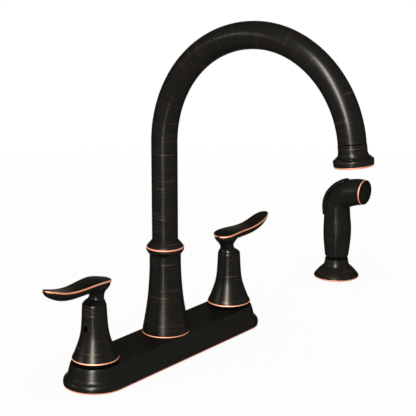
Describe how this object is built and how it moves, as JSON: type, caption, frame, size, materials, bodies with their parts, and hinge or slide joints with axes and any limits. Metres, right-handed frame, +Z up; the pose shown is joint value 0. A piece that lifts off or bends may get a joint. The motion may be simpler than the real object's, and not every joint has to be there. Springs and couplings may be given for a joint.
{
  "type": "kitchen faucet",
  "caption": "Deck mounted kitchen faucet with a high arc swivel spout, hot and cold lever handles on a long plate, and a side spray in its own guide.",
  "frame": {"origin": "on the spout's axis, at the underside of the deck gasket, which is the top of the sink deck", "axes": "+X along the plate towards the cold handle and the side spray, the spout points to -Y at rest, +Z up"},
  "size_m": [0.4953, 0.2524, 0.3753],
  "materials": {
    "dark_bronze": "satin near-black bronze with copper coloured edges and fine brushed copper streaks",
    "plain_brass": "machined brass",
    "black_rubber": "matt",
    "black_plastic": "matt",
    "ceramic": "polished ceramic",
    "steel": "satin"
  },
  "bodies": {
    "deck": {"deck_gasket": "black_rubber", "deck_plate": "dark_bronze", "hot_base_ring": "black_plastic", "cold_base_ring": "black_plastic", "hot_valve_body": "plain_brass", "cold_valve_body": "plain_brass", "hot_cartridge": "plain_brass", "cold_cartridge": "plain_brass", "hot_seat_disc": "ceramic", "cold_seat_disc": "ceramic", "hot_bonnet_nut": "plain_brass", "cold_bonnet_nut": "plain_brass", "hot_cross_tube": "plain_brass", "cold_cross_tube": "plain_brass", "hot_deck_washer": "black_rubber", "cold_deck_washer": "black_rubber", "hot_mounting_nut": "black_plastic", "cold_mounting_nut": "black_plastic", "spout_body": "plain_brass", "spout_retainer": "plain_brass", "lower_o_ring": "black_rubber", "upper_o_ring": "black_rubber", "spout_bushing": "black_plastic", "spout_base": "dark_bronze", "spray_gasket": "black_rubber", "spray_guide": "dark_bronze", "spray_deck_washer": "black_rubber", "spray_mounting_nut": "black_plastic"},
    "spout": {"spout_stem": "plain_brass", "swivel_collar": "dark_bronze", "spout_tube": "dark_bronze", "aerator_housing": "dark_bronze", "aerator_washer": "black_rubber", "aerator_shell": "steel", "aerator_screen": "black_plastic"},
    "hot_handle": {"hot_hub": "dark_bronze", "hot_lever": "dark_bronze", "hot_set_screw": "steel", "hot_cartridge_stem": "plain_brass", "hot_turning_disc": "ceramic"},
    "cold_handle": {"cold_hub": "dark_bronze", "cold_lever": "dark_bronze", "cold_set_screw": "steel", "cold_cartridge_stem": "plain_brass", "cold_turning_disc": "ceramic"},
    "spray_wand": {"spray_nipple": "plain_brass", "spray_spacer": "black_plastic", "spray_body": "dark_bronze", "spray_face": "black_plastic", "spray_lever_pin": "steel"},
    "spray_trigger": {"spray_lever": "dark_bronze"}
  },
  "joints": [
    {"name": "spout_swivel", "type": "hinge", "parent": "deck", "child": "spout", "pos_m": [0, 0, 0.106], "axis": [0, 0, 1], "range_deg": [-110, 110]},
    {"name": "hot_handle_turn", "type": "hinge", "parent": "deck", "child": "hot_handle", "pos_m": [-0.1016, 0, 0.0516], "axis": [0, 0, 1], "range_deg": [0, 90]},
    {"name": "cold_handle_turn", "type": "hinge", "parent": "deck", "child": "cold_handle", "pos_m": [0.1016, 0, 0.0516], "axis": [0, 0, -1], "range_deg": [0, 90]},
    {"name": "spray_lift", "type": "slide", "parent": "deck", "child": "spray_wand", "axis": [0, 0, 1], "range_m": [0, 0.12]},
    {"name": "spray_lever_press", "type": "hinge", "parent": "spray_wand", "child": "spray_trigger", "pos_m": [0.3048, -0.0125, 0.1041], "axis": [-1, 0, 0], "range_deg": [0, 4], "stiffness_Nm_per_rad": 1, "springref_deg": -4.01}
  ]
}
